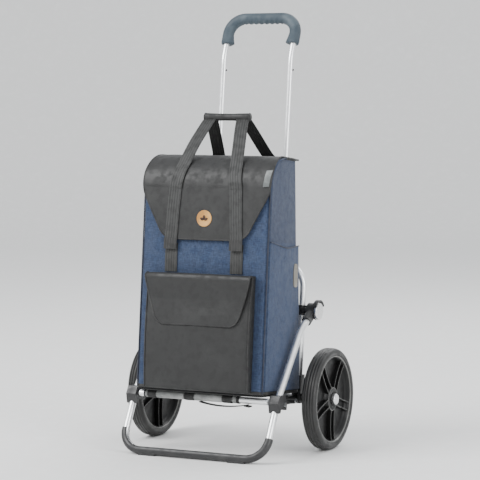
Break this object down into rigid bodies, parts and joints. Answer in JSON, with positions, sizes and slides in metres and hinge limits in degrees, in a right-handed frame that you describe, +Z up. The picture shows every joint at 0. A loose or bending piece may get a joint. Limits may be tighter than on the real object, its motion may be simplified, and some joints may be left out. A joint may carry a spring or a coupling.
{
  "type": "shopping trolley",
  "caption": "Two-wheeled shopping trolley with a folding tube frame, telescoping handle and a blue fabric bag with black flap, pocket and straps.",
  "frame": {"origin": "on the floor, under the middle of the trolley's box", "axes": "+Z up, +X to the trolley's right, -Y to its front, where the foot bar is"},
  "size_m": [0.5268, 0.4334, 1.0773],
  "materials": {
    "silver_tube": "satin",
    "silver_cap": "satin",
    "steel": "satin",
    "black_plastic": "matte",
    "rim_plastic": "satin",
    "tyre_rubber": "matte",
    "grip_foam": "matte",
    "blue_cloth": "matte",
    "black_cloth": "matte",
    "webbing": "matte",
    "tan_leather": "matte"
  },
  "bodies": {
    "root": {"axle": "steel", "axle_cap_left": "silver_cap", "axle_cap_right": "silver_cap", "frame_tube_left": "silver_tube", "frame_tube_right": "silver_tube", "axle_bracket_left": "black_plastic", "axle_bracket_right": "black_plastic", "axle_spacer_left": "black_plastic", "axle_spacer_right": "black_plastic", "guide_collar_left": "black_plastic", "guide_collar_right": "black_plastic", "bag_clip_left": "black_plastic", "bag_clip_right": "black_plastic", "arm_collar_left": "black_plastic", "arm_collar_right": "black_plastic", "lower_crossbar": "silver_tube", "upper_crossbar": "silver_tube", "platform_hinge_bolts": "steel", "bag_shell": "blue_cloth", "front_pocket": "black_cloth", "lower_strap_left": "webbing", "lower_strap_right": "webbing"},
    "wheel_left": {"tyre_left": "tyre_rubber", "rim_left": "rim_plastic", "wheel_bushes_left": "black_plastic"},
    "wheel_right": {"tyre_right": "tyre_rubber", "rim_right": "rim_plastic", "wheel_bushes_right": "black_plastic"},
    "handle": {"handle_tube": "silver_tube", "soft_grip": "grip_foam", "handle_plugs": "black_plastic"},
    "button_left": {"snap_button_left": "black_plastic"},
    "button_right": {"snap_button_right": "black_plastic"},
    "platform": {"platform_front_tube": "silver_tube", "platform_rear_bar": "steel", "bag_base_panel": "black_cloth", "platform_rail_left": "black_plastic", "platform_rail_right": "black_plastic"},
    "stand": {"stand_tube": "silver_tube", "foot_sleeve": "black_plastic", "stand_pivot_bolts": "steel", "foot_pads": "black_plastic", "stand_clamp_left": "black_plastic", "stand_clamp_right": "black_plastic", "arm_socket_left": "black_plastic", "arm_socket_right": "black_plastic", "arm_cap_left": "silver_cap", "arm_cap_right": "silver_cap"},
    "lever_left": {"hook_lever_left": "black_plastic"},
    "lever_right": {"hook_lever_right": "black_plastic"},
    "flap_top": {"flap_top": "black_cloth", "carry_grip": "webbing", "flap_skirt": "black_cloth", "badge": "tan_leather", "carry_strap_left": "webbing", "carry_strap_right": "webbing", "front_strap_left": "webbing", "front_strap_right": "webbing"},
    "pocket_flap": {"pocket_flap": "black_cloth"}
  },
  "joints": [
    {"name": "wheel_left_spin", "type": "hinge", "parent": "root", "child": "wheel_left", "pos_m": [-0.239, 0.06282, 0.125], "axis": [1, 0, 0], "continuous": true},
    {"name": "wheel_right_spin", "type": "hinge", "parent": "root", "child": "wheel_right", "pos_m": [0.239, 0.06282, 0.125], "axis": [1, 0, 0], "continuous": true},
    {"name": "handle_slide", "type": "slide", "parent": "root", "child": "handle", "axis": [0, 0.1155, 0.9933], "range_m": [-0.12, 0]},
    {"name": "button_left_press", "type": "slide", "parent": "handle", "child": "button_left", "axis": [1, 0, 0], "range_m": [-0.0014, 0], "stiffness_N_per_m": 400},
    {"name": "button_right_press", "type": "slide", "parent": "handle", "child": "button_right", "axis": [1, 0, 0], "range_m": [-0.0014, 0], "stiffness_N_per_m": 400},
    {"name": "platform_fold", "type": "hinge", "parent": "root", "child": "platform", "pos_m": [0, 0.00082, 0.124], "axis": [-1, 0, 0], "range_deg": [0, 80], "deforming": ["bag_shell", "front_pocket", "lower_strap_left", "lower_strap_right", "flap_top", "carry_grip", "carry_strap_left", "carry_strap_right", "flap_skirt", "badge", "front_strap_left", "front_strap_right", "pocket_flap"]},
    {"name": "stand_fold", "type": "hinge", "parent": "platform", "child": "stand", "pos_m": [0, -0.11918, 0.133], "axis": [1, 0, 0], "range_deg": [0, 100]},
    {"name": "lever_left_turn", "type": "hinge", "parent": "stand", "child": "lever_left", "pos_m": [-0.202, 0.07682, 0.338], "axis": [1, 0, 0], "range_deg": [0, 40], "stiffness_Nm_per_rad": 0.3},
    {"name": "lever_right_turn", "type": "hinge", "parent": "stand", "child": "lever_right", "pos_m": [0.202, 0.07682, 0.338], "axis": [1, 0, 0], "range_deg": [0, 40], "stiffness_Nm_per_rad": 0.3},
    {"name": "flap_open", "type": "hinge", "parent": "root", "child": "flap_top", "pos_m": [0, 0.09619, 0.70731], "axis": [-1, 0, 0], "range_deg": [0, 98]},
    {"name": "pocket_flap_lift", "type": "hinge", "parent": "root", "child": "pocket_flap", "pos_m": [0, -0.14466, 0.44084], "axis": [-1, 0, 0], "range_deg": [0, 80]}
  ],
  "couplings": [
    {"joint": "stand_fold", "follows": "platform_fold", "ratio": 1.25}
  ]
}
